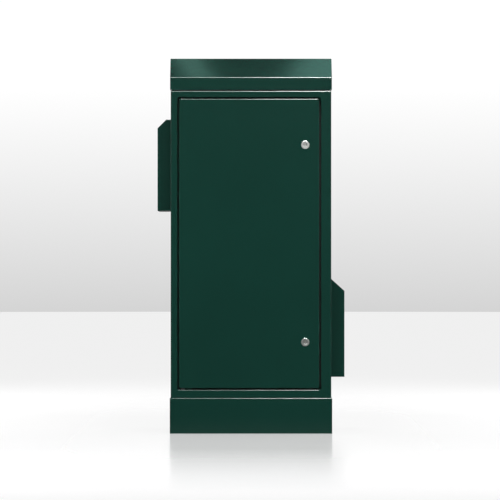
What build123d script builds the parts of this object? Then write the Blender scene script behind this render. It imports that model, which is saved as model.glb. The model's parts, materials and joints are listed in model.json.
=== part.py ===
from build123d import *
from math import cos, hypot, radians, sin, sqrt, tan
import os

# A free-standing parcel drop box in folded steel sheet.
# Z is up, the front faces -Y, and the origin is on the floor at the middle of the footprint.
# The courier's tilting hopper is on the left side, the collection hatch is on the right side,
# and a locked service door closes the front.

os.makedirs("parts", exist_ok=True)

# Body
body_width = 534.0
body_depth = 400.0
overall_height = 1250.0
sheet = 2.0  # wall of every folded panel
bend = 3.0  # outer radius of a visible fold
flange = 25.0  # inward flange along the top and bottom of the panels
seam = 0.5  # open joint between the front frame and a side panel
fit_gap = 0.3  # play beside a sheet that is only laid in

# Plinth
plinth_height = 118.0
plinth_proud = 3.0
plinth_foot = 40.0  # width of the flange that stands on the ground
anchor_spacing_x = 400.0
anchor_spacing_y = 362.0
anchor_hole_radius = 6.5

# Lid
lid_overhang = 2.0
lid_fascia = 40.0
lid_bevel = 66.0  # height and depth of the bevelled front
lid_fall = 24.0  # drop of the roof from its ridge to its rear edge
lid_seal_thickness = 4.0
lid_seal_width = 14.0
lid_seal_inset = 4.0

# Front frame and its opening
border_left = 22.0
border_right = 34.0
border_top = 21.0
border_bottom = 27.0
frame_return = 30.0  # depth of the frame's outer edge
corner_flange = 12.0  # flange where the frame and a side panel are riveted
stop_lip = 14.0  # lip that the door closes against
stop_depth = 26.0  # from the front face to the back of that lip
opening_corner = 8.0

# Door and hatch leaves
door_gap = 6.0
leaf_depth = 16.0
leaf_corner = 5.0
leaf_bend = 2.0
pivot_inset = 12.0  # pivot axis from the leaf's edge
pivot_setback = 8.0  # pivot axis behind the leaf's face
pivot_plate = 5.0
stiffener_width = 50.0
stiffener_rise = 12.0
stiffener_end_gap = 40.0
door_seal_start = 30.0  # clear of the leaf's edge as it swings past the pivot

# Pins and bushes
pin_radius = 4.0
running_fit = 0.05
bush_radius = 5.5
bush_flange_radius = 6.8
bush_flange = 1.5
pivot_block = 12.0
pivot_block_width = 24.0
thrust_gap = 0.1

# Quarter-turn locks
lock_edge = 46.5  # lock axis from the door's free edge
lock_end = 153.0  # lock axes from the door's top and bottom edges
lock_head_radius = 13.5
lock_head = 2.5
lock_barrel_radius = 11.0
lock_barrel = 22.0
lock_floor = 7.0  # rear wall of the barrel
insert_radius = 9.0
insert_shaft_radius = 6.0
insert_sink = 0.8  # how far the insert lies below the rim
key_pocket_radius = 7.6
key_pocket_depth = 7.0
key_bar = 4.4  # thickness of the double-bit bar
key_pin_radius = 3.0
cam_seat = 27.7  # from the leaf's face to the cam
cam_thickness = 3.0
cam_width = 14.0
cam_reach = 48.0
cam_square = 8.0
cam_screw_radius = 3.0
cam_screw_head_radius = 5.5
cam_screw_head = 3.5
cam_screw_length = 12.0
lock_nut_flats = 28.0
lock_nut = 5.0
lock_hole_play = 0.25

# Hoods on the two sides
hood_reach = 45.0
hood_width = 300.0
hood_bend = 1.5
hood_flange = 10.0
hopper_hood_bottom = 741.0
hopper_hood_height = 305.0
hopper_hood_flat = 16.0  # level strip of its top, beside the wall
hopper_hood_drop = 29.0  # fall of its top to the outer edge
hatch_hood_bottom = 187.0
hatch_hood_height = 328.0
hatch_hood_flat = 0.0
hatch_hood_drop = 41.0
leaf_recess = 20.0  # flap and hatch faces behind the hood's outer edge
side_gap = 4.0

# Hopper
flap_top_gap = 34.0  # from the hood's inner top down to the flap
flap_return = 14.0
hopper_lip_overlap = 8.0
pivot_height = 12.0  # hopper pivot above the hood's floor
flap_to_pivot = 12.0  # flap's outer face to the pivot axis
sill_above_pivot = 11.0
sill_leg = 18.0
flap_above_pivot = 16.0
tray_over_window = 12.5  # tray's upper face above the window's lower edge, at the wall
tray_slope = 35.0
cheek_radius = 200.0
cheek_top = 240.0
cheek_inset = 3.0  # cheeks inside the hood's opening
cheek_skirt = 7.0
cheek_neck = 26.0  # along the tray, where the skirt turns down to the pivot ear
cheek_clear_height = 19.2  # keeps the cheeks off the sill as the hopper tilts
cheek_shoulder = 40.0
cheek_arc_angle = 25.0  # a point in the middle of the cheeks' arc
ear_radius = 9.0
lug_thickness = 10.0
hopper_opening_angle = 38.0
stop_pin_height = 170.0  # stop pins above the pivot when the hopper is open
stop_pin_length = 14.0
buffer_radius = 6.0
buffer_thickness = 7.7
counterweight_width = 30.0
counterweight_thickness = 10.0
counterweight_end = 10.0
handle_width = 140.0
handle_below_top = 36.0
handle_reach = 17.0
handle_leg = 22.0
handle_lip = 14.0
handle_hole_spacing = 90.0
screw_radius = 2.5
screw_head_radius = 4.5
screw_head = 2.5

# Seals
seal_width = 12.0
side_seal_width = 8.0
hopper_seal_start = 16.0  # clear of the flap's lower edge as it tilts

# Hatch
hatch_top_gap = 4.5  # leaf below the hood's outer lip
hatch_lip_overlap = 9.0
hatch_lock_edge = 32.0
hatch_lock_height = 137.0  # lock axis above the leaf's bottom edge

# Inside
baffle_width = 330.0
baffle_foot = 25.0  # leg riveted to the side panel
baffle_top_height = 1110.0
baffle_reach = 220.0
baffle_edge_height = 800.0
baffle_lip = 20.0
mat_thickness = 4.0
mat_margin = 27.0
pan_lip = 18.0
pan_lip_inset = 34.0

# Fasteners
rivet_radius = 2.0
rivet_head_radius = 4.0
rivet_head = 1.2
rivet_rows = 5
rivet_end = 60.0
hood_rivet_end = 21.0  # first and last rivet of a column from the window's ends
hood_rivet_pitch = 42.0  # next rivet of a column, which leaves its middle clear for the lock
hood_row_rivets = 3
hood_row_inset = 50.0
hood_row_above = 9.0
baffle_rivets = 3
baffle_rivet_reach = 120.0
frame_bolt_radius = 4.0
frame_bolt_flats = 13.0
frame_bolt_head = 5.3
frame_bolt_inset = 17.0
frame_bolt_y = (-120.0, 150.0)
lid_bolt_radius = 3.0
lid_bolt_flats = 10.0
lid_bolt_head = 4.0
lid_bolt_inset = 11.0
lid_bolt_y = (-120.0, 120.0)
bolt_play = 0.4

# Places that follow from the sizes above
half_width = body_width / 2
half_depth = body_depth / 2
inner_half_width = half_width - sheet
plinth_width = body_width + 2 * plinth_proud
plinth_depth = body_depth + 2 * plinth_proud
lid_base = overall_height - lid_bevel - lid_fascia
body_base = plinth_height
body_top = lid_base - lid_seal_thickness
body_height = body_top - body_base
panel_front = -half_depth + frame_return + seam

opening_width = body_width - border_left - border_right
opening_height = body_height - border_top - border_bottom
opening_x = (border_left - border_right) / 2
opening_z = body_base + border_bottom + opening_height / 2
opening_left = opening_x - opening_width / 2
opening_bottom = opening_z - opening_height / 2
opening_top = opening_z + opening_height / 2

door_width = opening_width - 2 * door_gap
door_height = opening_height - 2 * door_gap
door_left = opening_x - door_width / 2
door_bottom = opening_z - door_height / 2
door_top = opening_z + door_height / 2
door_pivot_x = door_left + pivot_inset
door_pivot_y = -half_depth + pivot_setback
lock_x = opening_x + door_width / 2 - lock_edge
lock_heights = {"upper": door_top - lock_end, "lower": door_bottom + lock_end}

hood_half = hood_width / 2
hood_inner = hood_half - sheet
window_half = hood_inner - hood_flange
leaf_x = half_width + hood_reach - leaf_recess
side_leaf_half = hood_inner - side_gap

hopper_floor = hopper_hood_bottom + sheet
hopper_ceiling = hopper_hood_bottom + hopper_hood_height - sheet
pivot_x = -leaf_x + flap_to_pivot
pivot_z = hopper_floor + pivot_height
flap_bottom = pivot_z + flap_above_pivot
flap_top = hopper_ceiling - flap_top_gap
window_bottom = hopper_floor + hood_flange
window_top = flap_top - hopper_lip_overlap
cheek_half = window_half - cheek_inset

hatch_floor = hatch_hood_bottom + sheet
hatch_top_fall = hatch_hood_drop / (hood_reach - hatch_hood_flat)
hatch_top_skin = sheet * hypot(1, hatch_top_fall)
hatch_mouth_top = hatch_hood_bottom + hatch_hood_height - hatch_hood_drop - hatch_top_skin
hatch_bottom = hatch_floor + side_gap
hatch_top = hatch_mouth_top - hatch_top_gap
hatch_height = hatch_top - hatch_bottom
hatch_window_half = side_leaf_half - hatch_lip_overlap
hatch_window_bottom = hatch_bottom + hatch_lip_overlap
hatch_window_top = hatch_top - hatch_lip_overlap
hatch_pivot_x = leaf_x - pivot_setback
hatch_pivot_y = side_leaf_half - pivot_inset
hatch_lock_y = -side_leaf_half + hatch_lock_edge
hatch_lock_z = hatch_bottom + hatch_lock_height

# The outer faces of the door and of the hatch, with local x to the right and y up
door_face = Plane((opening_x, -half_depth, opening_z), x_dir=(1, 0, 0), z_dir=(0, -1, 0))
hatch_face = Plane((leaf_x, 0, hatch_bottom + hatch_height / 2), x_dir=(0, 1, 0), z_dir=(1, 0, 0))


def save(part, name):
    # Label a finished piece and write it to its own file.
    part.label = name
    export_step(part, f"parts/{name}.step")


def block(x, y, z, mode=Mode.ADD):
    # A box between two X, two Y and two Z values, in the part being built.
    with Locations(((x[0] + x[1]) / 2, (y[0] + y[1]) / 2, (z[0] + z[1]) / 2)):
        Box(abs(x[1] - x[0]), abs(y[1] - y[0]), abs(z[1] - z[0]), mode=mode)


def drill(radius, points, axis, length, mode=Mode.SUBTRACT):
    # Round holes or pins, each centred on a point and running along an axis.
    planes = [Plane(origin=point, z_dir=axis) for point in points]
    with Locations(*planes):
        Cylinder(radius, length, mode=mode)


def polygon(points):
    # The face inside a closed outline of straight edges, in the sketch being built.
    Polygon(*points, align=None)


def spaced(first, last, count):
    # Evenly spaced values, both ends included.
    return [first + (last - first) * index / (count - 1) for index in range(count)]


# Seats of the fasteners, which the holes in the sheets share
frame_bolt_points = [(s * (half_width - frame_bolt_inset), y) for s in (-1, 1) for y in frame_bolt_y]
lid_bolt_points = [(s * (half_width - lid_bolt_inset), y) for s in (-1, 1) for y in lid_bolt_y]
rivet_heights = spaced(body_base + rivet_end, body_top - rivet_end, rivet_rows)
rivet_x = half_width - sheet - corner_flange / 2
front_rivet_y = -half_depth + frame_return - sheet
front_rivet_grip = 2 * sheet + seam
baffle_rivet_ys = spaced(-baffle_rivet_reach, baffle_rivet_reach, baffle_rivets)
baffle_rivet_points = [(y, baffle_top_height - baffle_foot / 2) for y in baffle_rivet_ys]


def rivet_column(side, y):
    # Rivets down one edge of the body, at one depth.
    return [(side * rivet_x, y, z) for z in rivet_heights]


def hood_rivet_points(window_side, window_low, window_high):
    # Rivets that hold a hood's inner flange to the side panel: two columns and a top row.
    column_y = window_side + hood_flange / 2
    inwards = (hood_rivet_end, hood_rivet_end + hood_rivet_pitch)
    heights = [window_low + rise for rise in inwards] + [window_high - fall for fall in inwards]
    columns = [(s * column_y, z) for s in (-1, 1) for z in heights]
    row_reach = window_side - hood_row_inset
    row_z = window_high + hood_row_above
    return columns + [(y, row_z) for y in spaced(-row_reach, row_reach, hood_row_rivets)]


hopper_window = (window_half, window_bottom, window_top)
hatch_window = (hatch_window_half, hatch_window_bottom, hatch_window_top)
hopper_rivets = hood_rivet_points(*hopper_window)
hatch_rivets = hood_rivet_points(*hatch_window)


# ---- Plinth
plinth_x = (-plinth_width / 2, plinth_width / 2)
plinth_y = (-plinth_depth / 2, plinth_depth / 2)
with BuildPart() as plinth:
    block(plinth_x, plinth_y, (0, plinth_height))
    fillet(plinth.edges().filter_by(Axis.Z), bend)
    fillet(plinth.faces().sort_by(Axis.Z)[-1].edges(), bend - sheet / 2)
    hollow_x = (-plinth_width / 2 + sheet, plinth_width / 2 - sheet)
    hollow_y = (-plinth_depth / 2 + sheet, plinth_depth / 2 - sheet)
    block(hollow_x, hollow_y, (sheet, plinth_height - sheet), Mode.SUBTRACT)
    with Locations((0, 0, sheet / 2)):
        Box(plinth_width - 2 * plinth_foot, plinth_depth - 2 * plinth_foot, sheet, mode=Mode.SUBTRACT)
    with Locations((0, 0, plinth_height - sheet / 2)):
        Box(plinth_width - 2 * plinth_foot, plinth_depth - 2 * plinth_foot, sheet, mode=Mode.SUBTRACT)
    with GridLocations(anchor_spacing_x, anchor_spacing_y, 2, 2):
        Cylinder(anchor_hole_radius, 4 * sheet, mode=Mode.SUBTRACT)
    frame_holes = [(x, y, plinth_height) for x, y in frame_bolt_points]
    drill(frame_bolt_radius + bolt_play, frame_holes, (0, 0, 1), 4 * sheet)
save(plinth.part, "plinth")


# ---- Body panels
with BuildPart() as base_pan:
    pan_base = body_base + sheet
    pan_front = -half_depth + sheet + fit_gap
    pan_x = (-inner_half_width + fit_gap, inner_half_width - fit_gap)
    block(pan_x, (pan_front, half_depth - 2 * sheet - fit_gap), (pan_base, pan_base + sheet))
    lip_x = (-opening_width / 2, opening_width / 2)
    lip_y = -half_depth + pan_lip_inset
    block(lip_x, (lip_y, lip_y + sheet), (pan_base, pan_base + pan_lip))
    pan_holes = [(x, y, pan_base) for x, y in frame_bolt_points]
    drill(frame_bolt_radius + bolt_play, pan_holes, (0, 0, 1), 3 * sheet)
save(base_pan.part, "base_pan")

with BuildPart() as floor_mat:
    mat_base = body_base + 2 * sheet
    mat_x = (-half_width + mat_margin, half_width - mat_margin)
    mat_y = (lip_y + sheet + fit_gap, half_depth - mat_margin)
    block(mat_x, mat_y, (mat_base, mat_base + mat_thickness))
    fillet(floor_mat.edges().filter_by(Axis.Z), 2 * bend)
save(floor_mat.part, "floor_mat")


def side_panel(side, window_side, window_low, window_high, rivets):
    # One side of the body, with flanges on its four edges and the window behind its hood.
    wall = (side * half_width, side * inner_half_width)
    back = (half_depth - sheet, half_depth)
    with BuildPart() as panel:
        block(wall, (panel_front, half_depth), (body_base, body_top))
        outer_edges = panel.faces().sort_by(Axis.X)[-1 if side > 0 else 0].edges()
        fillet([outer_edges.sort_by(Axis.Y)[-1], outer_edges.sort_by(Axis.Z)[-1]], sheet - fit_gap)
        inner_corner = side * (inner_half_width - corner_flange)
        inner_flange = side * (half_width - flange)
        clear_low = body_base + 2 * sheet
        clear_high = body_top - 2 * sheet
        block((wall[1], inner_corner), (panel_front, panel_front + sheet), (clear_low, clear_high))
        block((wall[1], inner_flange), back, (body_base, body_top))
        for low in (body_base, body_top - sheet):
            block((wall[1], inner_flange), (panel_front, half_depth), (low, low + sheet))
        window_y = (-window_side, window_side)
        block((wall[0] + side, wall[1] - side), window_y, (window_low, window_high), Mode.SUBTRACT)
        drill(rivet_radius, rivet_column(side, front_rivet_y), (0, 1, 0), 6 * sheet)
        drill(rivet_radius, rivet_column(side, half_depth), (0, 1, 0), 6 * sheet)
        drill(rivet_radius, [(side * half_width, y, z) for y, z in rivets], (1, 0, 0), 6 * sheet)
        for bolt_radius, points, z in (
            (frame_bolt_radius, frame_bolt_points, body_base),
            (lid_bolt_radius, lid_bolt_points, body_top),
        ):
            own = [(x, y, z) for x, y in points if x * side > 0]
            drill(bolt_radius + bolt_play, own, (0, 0, 1), 3 * sheet)
    return panel.part


save(side_panel(-1, *hopper_window, hopper_rivets + baffle_rivet_points), "left_side_panel")
save(side_panel(1, *hatch_window, hatch_rivets), "right_side_panel")

with BuildPart() as back_panel:
    back_inner = half_depth - 2 * sheet
    block(pan_x, (back_inner, half_depth - sheet), (body_base + sheet, body_top - sheet))
    back_flange_x = (-half_width + flange + sheet, half_width - flange - sheet)
    for low in (body_base, body_top - sheet):
        block(back_flange_x, (half_depth - flange, half_depth - sheet), (low, low + sheet))
    for side in (-1, 1):
        drill(rivet_radius, rivet_column(side, half_depth), (0, 1, 0), 6 * sheet)
save(back_panel.part, "back_panel")

frame_plane = Plane((0, -half_depth, body_base + body_height / 2), x_dir=(1, 0, 0), z_dir=(0, -1, 0))
with BuildPart() as front_frame:
    with BuildSketch(frame_plane):
        Rectangle(body_width, body_height)
    extrude(amount=-frame_return)
    fillet(front_frame.faces().sort_by(Axis.Y)[0].edges(), bend)
    with BuildSketch(frame_plane.offset(-sheet)):
        Rectangle(body_width - 2 * sheet, body_height - 2 * sheet)
    extrude(amount=-frame_return, mode=Mode.SUBTRACT)
    for side in (-1, 1):
        flange_x = (side * inner_half_width, side * (inner_half_width - corner_flange))
        flange_y = (-half_depth + frame_return - sheet, -half_depth + frame_return)
        block(flange_x, flange_y, (body_base + 2 * sheet, body_top - 2 * sheet))
        drill(rivet_radius, rivet_column(side, front_rivet_y), (0, 1, 0), 6 * sheet)
    with BuildSketch(door_face):
        RectangleRounded(opening_width + 2 * sheet, opening_height + 2 * sheet, opening_corner + sheet)
    extrude(amount=-stop_depth)
    with BuildSketch(door_face):
        RectangleRounded(opening_width, opening_height, opening_corner)
    extrude(amount=-(stop_depth - sheet), mode=Mode.SUBTRACT)
    with BuildSketch(door_face):
        Rectangle(opening_width - 2 * stop_lip, opening_height - 2 * stop_lip)
    extrude(amount=-stop_depth, mode=Mode.SUBTRACT)
    fillet(front_frame.faces().sort_by(Axis.Y)[0].inner_wires().edges(), sheet - fit_gap)
    pivot_points = [(door_pivot_x, door_pivot_y, z) for z in (opening_bottom, opening_top)]
    drill(pin_radius, pivot_points, (0, 0, 1), 3 * sheet)
save(front_frame.part, "front_frame")

with BuildPart() as top_plate:
    plate_top = body_top - sheet
    block(pan_x, (pan_front, half_depth - 2 * sheet - fit_gap), (plate_top - sheet, plate_top))
    plate_holes = [(x, y, plate_top) for x, y in lid_bolt_points]
    drill(lid_bolt_radius + bolt_play, plate_holes, (0, 0, 1), 3 * sheet)
save(top_plate.part, "top_plate")


# ---- Lid
seal_outer_width = body_width - 2 * lid_seal_inset
seal_outer_depth = body_depth - 2 * lid_seal_inset
with BuildPart() as lid_seal:
    with BuildSketch(Plane.XY.offset(body_top)):
        RectangleRounded(seal_outer_width, seal_outer_depth, 2 * bend)
        inner_size = (seal_outer_width - 2 * lid_seal_width, seal_outer_depth - 2 * lid_seal_width)
        RectangleRounded(*inner_size, bend, mode=Mode.SUBTRACT)
    extrude(amount=lid_seal_thickness)
    drill(lid_bolt_radius + bolt_play, [(x, y, body_top) for x, y in lid_bolt_points], (0, 0, 1), 6 * sheet)
save(lid_seal.part, "lid_seal")

lid_half_width = half_width + lid_overhang
lid_half_depth = half_depth + lid_overhang
lid_outline = [
    (-lid_half_depth, lid_base),
    (-lid_half_depth, lid_base + lid_fascia),
    (-lid_half_depth + lid_bevel, overall_height),
    (lid_half_depth, overall_height - lid_fall),
    (lid_half_depth, lid_base),
]
with BuildPart() as lid:
    with BuildSketch(Plane.YZ):
        polygon(lid_outline)
    extrude(amount=lid_half_width, both=True)
    folds = lid.edges().filter_by(Axis.X).group_by(Axis.Z)
    fillet(folds[1] + folds[2] + folds[3], bend)
    for end in (-1, 1):
        gable = lid.faces().filter_by(Axis.X).sort_by(Axis.X)[0 if end < 0 else -1]
        base_edge = gable.edges().sort_by(Axis.Z)[0]
        fillet(gable.edges() - ShapeList([base_edge]), sheet - fit_gap)
    with BuildSketch(Plane.YZ):
        polygon(lid_outline)
        offset(amount=-sheet, kind=Kind.INTERSECTION, mode=Mode.REPLACE)
    extrude(amount=lid_half_width - sheet, both=True, mode=Mode.SUBTRACT)
    with Locations((0, 0, lid_base + sheet / 2)):
        Box(2 * (lid_half_width - flange), 2 * (lid_half_depth - flange), sheet, mode=Mode.SUBTRACT)
    drill(lid_bolt_radius + bolt_play, [(x, y, lid_base) for x, y in lid_bolt_points], (0, 0, 1), 6 * sheet)
save(lid.part, "lid")


# ---- Hoods and their seals
def hood_outline(side, reach, bottom, height, flat, drop):
    # Side view of a hood as far out as reach: level floor, then a top that falls outwards.
    top = bottom + height
    outer_top = top - drop * (reach - flat) / (hood_reach - flat)
    outline = [(0, bottom), (reach, bottom), (reach, outer_top), (flat, top)]
    if flat > 0:
        outline.append((0, top))
    return [(side * (half_width + u), z) for u, z in outline]


def is_fold(edge):
    # True for a fold of a hood's top that lies between the wall and the mouth.
    return 1 < abs(edge.center().X) - half_width < hood_reach - 1


def hood(side, bottom, height, flat, drop, window_side, window_low, window_high, rivets):
    # An open-fronted hood with an inward flange against the side panel.
    with BuildPart() as shell:
        with BuildSketch(Plane.XZ):
            polygon(hood_outline(side, hood_reach, bottom, height, flat, drop))
        extrude(amount=hood_half, both=True)
        cheeks = shell.faces().filter_by(Axis.Y)
        rims = [edge for cheek in cheeks for edge in cheek.edges().filter_by(Axis.Z, reverse=True)]
        folds = [edge for edge in shell.edges().filter_by(Axis.Y) if is_fold(edge)]
        fillet(rims + folds, hood_bend)
        with BuildSketch(Plane.XZ):
            polygon(hood_outline(side, 2 * hood_reach, bottom, height, flat, drop))
            offset(amount=-sheet, kind=Kind.INTERSECTION, mode=Mode.REPLACE)
        extrude(amount=hood_inner, both=True, mode=Mode.SUBTRACT)
        flange_x = (side * (half_width - sheet), side * (half_width + 2 * sheet))
        block(flange_x, (-window_side, window_side), (window_low, window_high), Mode.SUBTRACT)
        drill(rivet_radius, [(side * half_width, y, z) for y, z in rivets], (1, 0, 0), 6 * sheet)
    return shell


hopper_hood = hood(
    -1, hopper_hood_bottom, hopper_hood_height, hopper_hood_flat, hopper_hood_drop,
    *hopper_window, hopper_rivets,
)
save(hopper_hood.part, "hopper_hood")
hatch_hood = hood(
    1, hatch_hood_bottom, hatch_hood_height, hatch_hood_flat, hatch_hood_drop,
    *hatch_window, hatch_rivets,
)
with hatch_hood:
    thrust_seat = (hatch_pivot_x, hatch_pivot_y, hatch_floor)
    drill(pin_radius, [thrust_seat], (0, 0, 1), 3 * sheet)
save(hatch_hood.part, "hatch_hood")


with BuildPart() as hopper_seal:
    seal_x = (-half_width - sheet, -leaf_x + flap_return + fit_gap)
    seal_outer = hood_inner - fit_gap
    seal_inner = seal_outer - side_seal_width
    seal_low = flap_bottom + hopper_seal_start
    seal_high = flap_top + fit_gap
    for end in (-1, 1):
        block(seal_x, (end * seal_inner, end * seal_outer), (seal_low, seal_high))
    block(seal_x, (-seal_outer, seal_outer), (seal_high - side_seal_width, seal_high))
save(hopper_seal.part, "hopper_seal")

with BuildPart() as hatch_seal:
    seal_x = (half_width + sheet, leaf_x - leaf_depth - fit_gap)
    seal_low = hatch_window_bottom - side_seal_width
    seal_high = hatch_window_top + side_seal_width
    seal_front = -hatch_window_half - side_seal_width
    seal_back = hatch_pivot_y - door_seal_start
    block(seal_x, (seal_front, -hatch_window_half), (seal_low, seal_high))
    block(seal_x, (seal_front, seal_back), (seal_low, hatch_window_bottom))
    block(seal_x, (seal_front, seal_back), (hatch_window_top, seal_high))
save(hatch_seal.part, "hatch_seal")

with BuildPart() as door_seal:
    seal_y = (-half_depth + leaf_depth + fit_gap, -half_depth + stop_depth - sheet)
    outer_right = opening_left + opening_width - fit_gap
    seal_left = door_pivot_x + door_seal_start
    seal_low = opening_bottom + fit_gap
    seal_high = opening_top - fit_gap
    block((outer_right - seal_width, outer_right), seal_y, (seal_low, seal_high))
    block((seal_left, outer_right), seal_y, (seal_low, seal_low + seal_width))
    block((seal_left, outer_right), seal_y, (seal_high - seal_width, seal_high))
    seal_corners = door_seal.edges().filter_by(Axis.Y).group_by(Axis.X)[-1]
    fillet(seal_corners, opening_corner)
save(door_seal.part, "door_seal")


# ---- Pivots of the door
with BuildPart() as door_pivot_blocks:
    block_x = (door_pivot_x - pivot_block_width / 2, door_pivot_x + pivot_block_width / 2)
    block_y = (door_pivot_y - pivot_block / 2, door_pivot_y + pivot_block / 2)
    block(block_x, block_y, (opening_top + sheet, opening_top + sheet + pivot_block))
    block(block_x, block_y, (opening_bottom - sheet - pivot_block, opening_bottom - sheet))
    drill(pin_radius, [(door_pivot_x, door_pivot_y, opening_z)], (0, 0, 1), 2 * opening_height)
save(door_pivot_blocks.part, "door_pivot_blocks")

with BuildPart() as door_pivot_pins:
    low_start = opening_bottom - sheet - pivot_block
    low_length = pivot_block + sheet + door_gap + leaf_depth
    high_end = opening_top + sheet + pivot_block
    for middle in (low_start + low_length / 2, high_end - low_length / 2):
        drill(pin_radius, [(door_pivot_x, door_pivot_y, middle)], (0, 0, 1), low_length, Mode.ADD)
    chamfer(door_pivot_pins.edges().filter_by(GeomType.CIRCLE), sheet / 4)
save(door_pivot_pins.part, "door_pivot_pins")

with BuildPart() as door_thrust_washer:
    washer_height = door_gap - bush_flange - thrust_gap
    washer_middle = (door_pivot_x, door_pivot_y, opening_bottom + washer_height / 2)
    drill(bush_flange_radius, [washer_middle], (0, 0, 1), washer_height, Mode.ADD)
    drill(pin_radius + running_fit, [washer_middle], (0, 0, 1), 2 * washer_height)
save(door_thrust_washer.part, "door_thrust_washer")


# ---- Door leaf and hatch leaf
def folded_leaf(face, width, height):
    # A leaf of one sheet: a flat face with its four edges folded back.
    with BuildPart() as leaf:
        with BuildSketch(face):
            RectangleRounded(width, height, leaf_corner)
        extrude(amount=-leaf_depth)
        outer = leaf.faces().sort_by(Axis(face.origin, face.z_dir))[-1]
        fillet(outer.edges(), leaf_bend)
        with BuildSketch(face.offset(-sheet)):
            RectangleRounded(width - 2 * sheet, height - 2 * sheet, leaf_corner - sheet)
        extrude(amount=-leaf_depth, mode=Mode.SUBTRACT)
    return leaf


def flanged_bushes(x, y, low, high):
    # Two bushes whose flanges stand outside the leaf's bottom and top edges.
    body = pivot_plate + sheet
    with BuildPart() as bushes:
        for edge_z, outward in ((low, -1), (high, 1)):
            middle = edge_z - outward * body / 2
            drill(bush_radius, [(x, y, middle)], (0, 0, 1), body, Mode.ADD)
            rim = edge_z + outward * bush_flange / 2
            drill(bush_flange_radius, [(x, y, rim)], (0, 0, 1), bush_flange, Mode.ADD)
        drill(pin_radius + running_fit, [(x, y, (low + high) / 2)], (0, 0, 1), 2 * (high - low))
    return bushes.part


lock_points = [(lock_x, -half_depth, z) for z in lock_heights.values()]
door_panel = folded_leaf(door_face, door_width, door_height)
with door_panel:
    drill(lock_barrel_radius + lock_hole_play, lock_points, (0, 1, 0), 6 * sheet)
    drill(bush_radius, [(door_pivot_x, door_pivot_y, opening_z)], (0, 0, 1), 2 * opening_height)
save(door_panel.part, "door_panel")

with BuildPart() as door_pivot_plates:
    plate_x = (door_left + leaf_corner, door_pivot_x + pivot_block_width / 2)
    plate_y = (-half_depth + sheet, -half_depth + leaf_depth)
    for base in (door_bottom + sheet, door_top - sheet - pivot_plate):
        block(plate_x, plate_y, (base, base + pivot_plate))
    drill(bush_radius, [(door_pivot_x, door_pivot_y, opening_z)], (0, 0, 1), 2 * opening_height)
save(door_pivot_plates.part, "door_pivot_plates")
save(flanged_bushes(door_pivot_x, door_pivot_y, door_bottom, door_top), "door_bushes")

with BuildPart() as door_stiffeners:
    stiffener_base = -half_depth + sheet
    brim = stiffener_rise
    stiffener_outline = [
        (-stiffener_width / 2, 0),
        (-stiffener_width / 2, sheet),
        (-stiffener_width / 2 + brim, sheet),
        (-stiffener_width / 2 + brim, stiffener_rise),
        (stiffener_width / 2 - brim, stiffener_rise),
        (stiffener_width / 2 - brim, sheet),
        (stiffener_width / 2, sheet),
        (stiffener_width / 2, 0),
        (stiffener_width / 2 - brim - sheet, 0),
        (stiffener_width / 2 - brim - sheet, stiffener_rise - sheet),
        (-stiffener_width / 2 + brim + sheet, stiffener_rise - sheet),
        (-stiffener_width / 2 + brim + sheet, 0),
    ]
    for x in (opening_x - door_width / 4, opening_x + door_width / 5):
        with BuildSketch(Plane.XY.offset(door_bottom + stiffener_end_gap)):
            polygon([(x + u, stiffener_base + v) for u, v in stiffener_outline])
        extrude(amount=door_height - 2 * stiffener_end_gap)
save(door_stiffeners.part, "door_stiffeners")


# ---- Quarter-turn locks
def lock_housing(seat):
    # Head, barrel and stepped bore, standing on a plane in the leaf's face.
    with BuildPart(seat) as housing:
        Cylinder(lock_head_radius, lock_head, align=(Align.CENTER, Align.CENTER, Align.MIN))
        fillet(housing.faces().sort_by(Axis(seat.origin, seat.z_dir))[-1].edges(), lock_head / 3)
        Cylinder(lock_barrel_radius, lock_barrel, align=(Align.CENTER, Align.CENTER, Align.MAX))
        with Locations((0, 0, lock_floor - lock_barrel)):
            bore = insert_radius + running_fit
            Cylinder(bore, lock_barrel, align=(Align.CENTER, Align.CENTER, Align.MIN), mode=Mode.SUBTRACT)
        Cylinder(insert_shaft_radius + running_fit, 3 * lock_barrel, mode=Mode.SUBTRACT)
    return housing.part


def lock_insert(seat):
    # The turning core: a key pocket with a double-bit bar, a shaft and a square end.
    front = lock_head - insert_sink
    shoulder = lock_floor - lock_barrel + running_fit
    low = (Align.CENTER, Align.CENTER, Align.MIN)
    with BuildPart(seat) as core:
        with Locations((0, 0, shoulder)):
            Cylinder(insert_radius, front - shoulder, align=low)
        with Locations((0, 0, front - key_pocket_depth)):
            Cylinder(key_pocket_radius, key_pocket_depth, align=low, mode=Mode.SUBTRACT)
            Box(key_bar, 2 * key_pocket_radius, key_pocket_depth - insert_sink, align=low)
            Cylinder(key_pin_radius, key_pocket_depth - insert_sink, align=low)
        with Locations((0, 0, -cam_seat)):
            Cylinder(insert_shaft_radius, cam_seat + shoulder, align=low)
        with Locations((0, 0, -cam_seat - cam_thickness)):
            Box(cam_square, cam_square, cam_thickness, align=low)
            Cylinder(cam_screw_radius, cam_screw_length, align=low, mode=Mode.SUBTRACT)
    return core.part


def lock_cam(seat):
    # The latch plate, hanging down when the lock is open.
    with BuildPart() as cam:
        with BuildSketch(seat.offset(-cam_seat)):
            middle = (cam_width / 2 - cam_reach) / 2
            with Locations((0, middle)):
                SlotOverall(cam_reach + cam_width / 2, cam_width, rotation=90)
            Rectangle(cam_square, cam_square, mode=Mode.SUBTRACT)
        extrude(amount=-cam_thickness)
    return cam.part


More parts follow.
